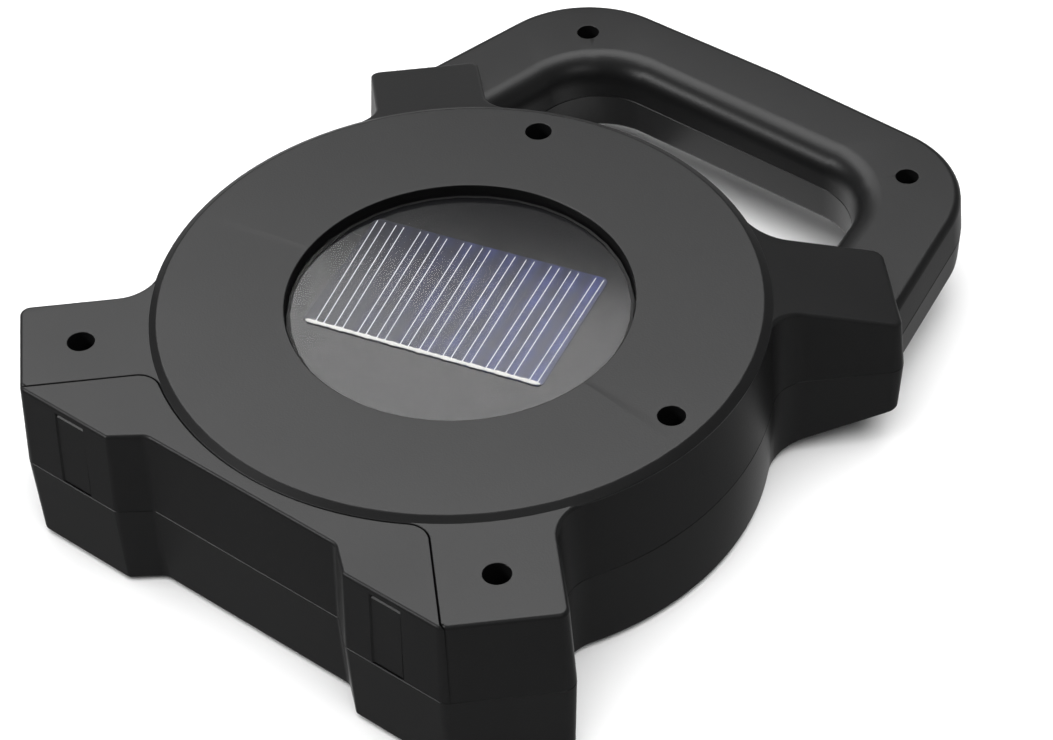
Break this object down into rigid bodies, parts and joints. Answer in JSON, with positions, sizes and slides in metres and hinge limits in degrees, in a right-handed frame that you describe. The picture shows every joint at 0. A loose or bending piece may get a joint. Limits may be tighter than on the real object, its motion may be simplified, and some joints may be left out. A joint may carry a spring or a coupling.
{
  "type": "solar flood light",
  "caption": "Portable solar flood light: round black body with lugs and feet, solar window on the back, lamp on the front, a carrying handle and a lift-off cover.",
  "frame": {"origin": "middle of the whole light in plan, on the plane of the front bezel that it rests on", "axes": "+Z out of the solar face, +Y from the feet towards the handle, +X to the right seen from the solar side"},
  "size_m": [0.1392, 0.18, 0.0408],
  "materials": {
    "shell": "satin",
    "bezel": "gloss",
    "rubber": "matte",
    "clear": "polished",
    "panel": "gloss",
    "cell": "polished",
    "mirror": "polished",
    "phosphor": "matte",
    "aluminium": "satin",
    "board": "satin",
    "steel": "satin",
    "screw": "black oxide",
    "wrap": "gloss",
    "chip": "matte",
    "lead_red": "satin",
    "lead_black": "satin"
  },
  "bodies": {
    "housing": {"back_shell": "shell", "front_shell": "shell", "front_bezel": "bezel", "front_lens": "clear", "solar_window": "clear", "window_seal": "rubber", "lens_seal": "rubber", "solar_board": "panel", "solar_cell": "cell", "reflector": "mirror", "cob_board": "aluminium", "cob_emitter": "phosphor", "heat_sink": "aluminium", "control_board": "board", "switch_board": "board", "power_switch": "chip", "boost_inductor": "chip", "charge_chip": "chip", "battery_tray": "chip", "usb_output_socket": "steel", "charge_socket": "steel", "battery_cell": "wrap", "battery_contact": "steel", "battery_spring": "steel", "solar_lead_red": "lead_red", "solar_lead_black": "lead_black", "lamp_lead_red": "lead_red", "lamp_lead_black": "lead_black", "battery_lead_red": "lead_red", "battery_lead_black": "lead_black", "switch_lead_red": "lead_red", "switch_lead_black": "lead_black", "lug_screw_left": "screw", "lug_screw_right": "screw", "handle_screw_left": "screw", "handle_screw_right": "screw", "disc_screw_top": "screw", "disc_screw_side": "screw", "heat_sink_screw_1": "steel", "heat_sink_screw_2": "steel", "heat_sink_screw_3": "steel", "heat_sink_screw_4": "steel", "board_screw_1": "steel", "board_screw_2": "steel"},
    "cover": {"battery_cover": "shell"},
    "latch_left": {"cover_latch_left": "shell"},
    "latch_right": {"cover_latch_right": "shell"},
    "button": {"power_button": "rubber"},
    "flap": {"port_flap": "rubber"}
  },
  "joints": [
    {"name": "cover_lift", "type": "slide", "parent": "housing", "child": "cover", "axis": [0, 0, 1], "range_m": [0, 0.025]},
    {"name": "latch_left_press", "type": "hinge", "parent": "housing", "child": "latch_left", "pos_m": [-0.03995, -0.08785, 0.0109], "axis": [-1, 0, 0], "range_deg": [0, 4], "stiffness_Nm_per_rad": 0.3},
    {"name": "latch_right_press", "type": "hinge", "parent": "housing", "child": "latch_right", "pos_m": [0.03995, -0.08785, 0.0109], "axis": [-1, 0, 0], "range_deg": [0, 4], "stiffness_Nm_per_rad": 0.3},
    {"name": "power_press", "type": "slide", "parent": "housing", "child": "button", "axis": [1, 0, 0], "range_m": [0, 0.0008], "stiffness_N_per_m": 800},
    {"name": "flap_open", "type": "hinge", "parent": "housing", "child": "flap", "pos_m": [0, 0.04335, 0.0221], "axis": [-1, 0, 0], "range_deg": [0, 95]}
  ]
}
